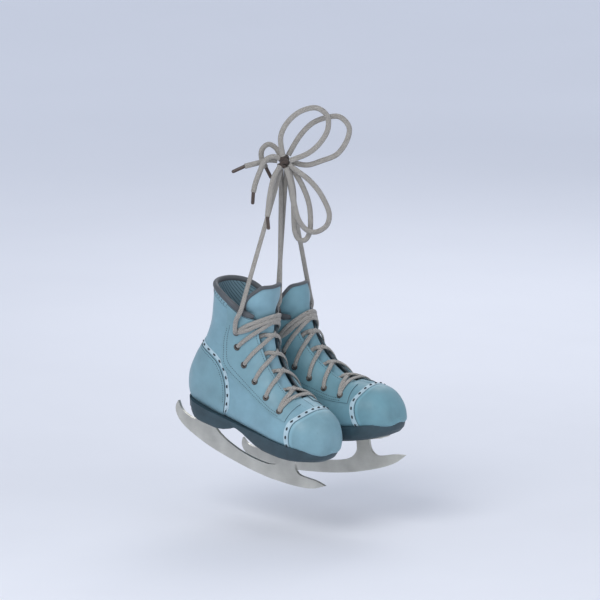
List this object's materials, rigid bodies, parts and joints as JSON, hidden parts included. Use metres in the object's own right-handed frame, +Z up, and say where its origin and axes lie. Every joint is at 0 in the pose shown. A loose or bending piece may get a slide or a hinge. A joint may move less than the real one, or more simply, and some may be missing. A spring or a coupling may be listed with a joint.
{
  "type": "pair of figure skates",
  "caption": "Pair of ankle-high lace-up figure skates with one-piece blades, hanging side by side from their own laces tied in a bow",
  "frame": {"origin": "centre of the knot that the pair hangs from", "axes": "+Z up; -Y towards the side from which the right skate is in front; +X the way both toes mostly point; the right skate is turned 40 degrees and the left one 36 degrees from +X towards -Y"},
  "size_m": [0.2978, 0.2272, 0.4886],
  "materials": {
    "near_leather": "grained blue leather",
    "far_leather": "grained blue leather",
    "overlay_leather": "lighter stitched leather",
    "sole": "dark teal moulded sole",
    "inside": "woven lining",
    "rim": "dark padded edge",
    "steel": "dull ground steel",
    "lace": "flat woven lace",
    "lace_dark": "dark wound lace",
    "aglet": "dark lace tip"
  },
  "bodies": {
    "bow": {"knot": "lace_dark", "bow_loop_1": "lace", "bow_loop_2": "lace", "bow_loop_3": "lace", "bow_loop_4": "lace", "lace_end_1": "lace", "lace_end_2": "lace", "lace_end_4": "lace", "aglet_1": "aglet", "aglet_2": "aglet", "aglet_4": "aglet"},
    "near_skate": {"near_toe_cap": "overlay_leather", "near_lateral_quarter": "near_leather", "near_medial_quarter": "near_leather", "near_heel_counter": "overlay_leather", "near_lateral_facing": "overlay_leather", "near_medial_facing": "overlay_leather", "near_lining": "inside", "near_collar": "rim", "near_footbed": "inside", "near_tongue": "near_leather", "near_lacing": "lace", "near_outsole": "sole", "near_heel": "sole", "near_heel_plate": "steel", "near_sole_plate": "steel", "near_blade": "steel", "near_screw_heel_rear": "steel", "near_screw_heel_front": "steel", "near_screw_sole_rear": "steel", "near_screw_sole_front": "steel", "near_strand_lateral": "lace", "near_strand_medial": "lace", "lace_end_3": "lace", "aglet_3": "aglet"},
    "near_tongue_flap": {"near_tongue_top": "near_leather"},
    "far_skate": {"far_toe_cap": "overlay_leather", "far_lateral_quarter": "far_leather", "far_medial_quarter": "far_leather", "far_heel_counter": "overlay_leather", "far_lateral_facing": "overlay_leather", "far_medial_facing": "overlay_leather", "far_lining": "inside", "far_collar": "rim", "far_footbed": "inside", "far_tongue": "far_leather", "far_lacing": "lace", "far_outsole": "sole", "far_heel": "sole", "far_heel_plate": "steel", "far_sole_plate": "steel", "far_blade": "steel", "far_screw_heel_rear": "steel", "far_screw_heel_front": "steel", "far_screw_sole_rear": "steel", "far_screw_sole_front": "steel", "far_strand_lateral": "lace", "far_strand_medial": "lace"},
    "far_tongue_flap": {"far_tongue_top": "far_leather"}
  },
  "joints": [
    {"name": "near_swing", "type": "hinge", "parent": "bow", "child": "near_skate", "pos_m": [0, 0, 0], "axis": [-0.766, 0.6428, 0], "range_deg": [0, 30]},
    {"name": "far_swing", "type": "hinge", "parent": "bow", "child": "far_skate", "pos_m": [0, 0, 0], "axis": [0.809, -0.5878, 0], "range_deg": [0, 20]},
    {"name": "near_tongue_flex", "type": "hinge", "parent": "near_skate", "child": "near_tongue_flap", "pos_m": [-0.01505, -0.04142, -0.18607], "axis": [0.6428, 0.766, 0], "range_deg": [0, 20], "stiffness_Nm_per_rad": 0.15},
    {"name": "far_tongue_flex", "type": "hinge", "parent": "far_skate", "child": "far_tongue_flap", "pos_m": [0.02936, 0.03837, -0.19913], "axis": [0.5878, 0.809, 0], "range_deg": [0, 20], "stiffness_Nm_per_rad": 0.15}
  ]
}
